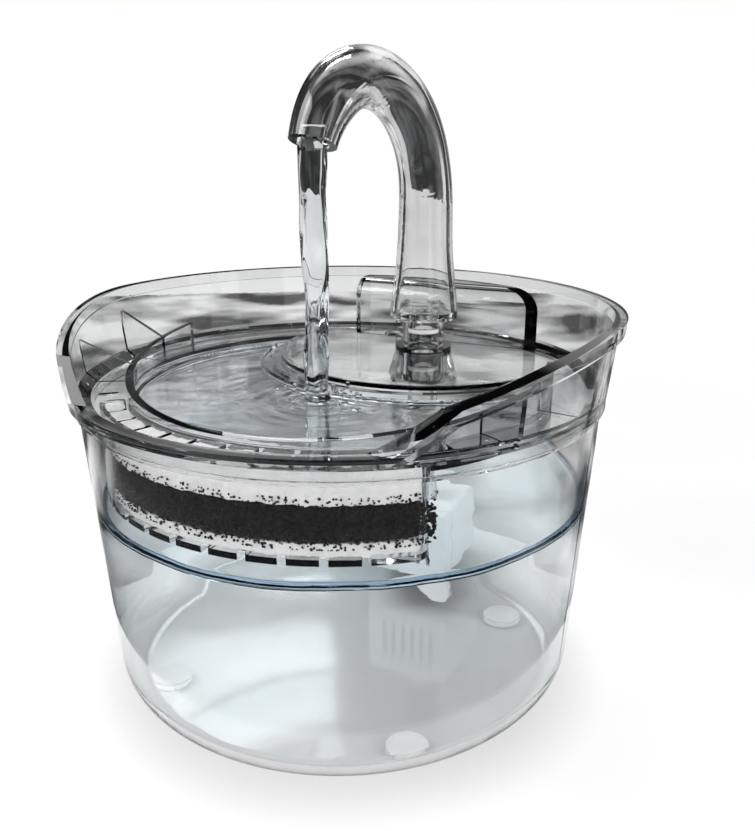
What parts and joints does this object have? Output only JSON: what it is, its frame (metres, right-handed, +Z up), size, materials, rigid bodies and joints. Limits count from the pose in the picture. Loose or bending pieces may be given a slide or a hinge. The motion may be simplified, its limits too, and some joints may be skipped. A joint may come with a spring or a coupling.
{
  "type": "pet water fountain",
  "caption": "Clear bucket pet fountain with a lift-off drinking tray, swan-neck tap, hung filter box and a submersible pump.",
  "frame": {"origin": "on the table, at the middle of the tank's foot pads", "axes": "+Z up, the low drinking edge faces -Y, the tap stands at +Y, +X to the right seen from the drinking side"},
  "size_m": [0.1856, 0.1833, 0.2136],
  "materials": {
    "clear_plastic": "clear polished plastic",
    "pad_rubber": "soft translucent",
    "seal_rubber": "soft silicone",
    "cup_rubber": "soft silicone",
    "white_plastic": "moulded satin",
    "grey_plastic": "moulded",
    "cotton": "fluffy cotton",
    "carbon": "granular activated carbon",
    "sponge": "open foam",
    "magnet": "ferrite",
    "steel": "plain",
    "copper": "enamelled wire",
    "soft_tube": "clear silicone"
  },
  "bodies": {
    "tank": {"tank": "clear_plastic", "foot_pad_rear_right": "pad_rubber", "foot_pad_rear_left": "pad_rubber", "foot_pad_front_left": "pad_rubber", "foot_pad_front_right": "pad_rubber", "pump_casing": "white_plastic", "pump_back_plate": "white_plastic", "chamber_plate": "white_plastic", "cable_gland": "seal_rubber", "impeller_shaft": "steel", "shaft_bush_front": "seal_rubber", "shaft_bush_rear": "seal_rubber", "stator_core": "steel", "stator_coil": "copper", "suction_cup_front_left": "cup_rubber", "suction_cup_front_right": "cup_rubber", "suction_cup_rear_left": "cup_rubber", "suction_cup_rear_right": "cup_rubber", "riser_tube": "soft_tube"},
    "tray": {"tray": "clear_plastic", "cable_cover": "clear_plastic", "tap_socket": "clear_plastic", "socket_nut": "clear_plastic"},
    "tap": {"tap": "clear_plastic", "tap_seal_ring": "seal_rubber"},
    "filter": {"filter_box": "clear_plastic", "cotton_pad_upper": "cotton", "carbon_layer": "carbon", "cotton_pad_lower": "cotton"},
    "rotor": {"impeller": "grey_plastic", "rotor_magnet": "magnet"},
    "intake": {"intake_cover": "white_plastic", "intake_sponge": "sponge"},
    "flow_slider": {"flow_slider": "grey_plastic"}
  },
  "joints": [
    {"name": "tray_lift", "type": "slide", "parent": "tank", "child": "tray", "axis": [0, 0, 1], "range_m": [0, 0.1]},
    {"name": "tap_swivel", "type": "hinge", "parent": "tray", "child": "tap", "pos_m": [0.0085, 0.052, 0.1195], "axis": [0, 0, 1], "continuous": true},
    {"name": "filter_pull", "type": "slide", "parent": "tray", "child": "filter", "axis": [0, 0, -1], "range_m": [0, 0.03]},
    {"name": "impeller_spin", "type": "hinge", "parent": "tank", "child": "rotor", "pos_m": [0.0085, 0.05, 0.0233], "axis": [0, 1, 0], "continuous": true},
    {"name": "intake_cover_pull", "type": "slide", "parent": "tank", "child": "intake", "axis": [0, -1, 0], "range_m": [0, 0.02]},
    {"name": "flow_slide", "type": "slide", "parent": "intake", "child": "flow_slider", "axis": [1, 0, 0], "range_m": [0, 0.002]}
  ]
}
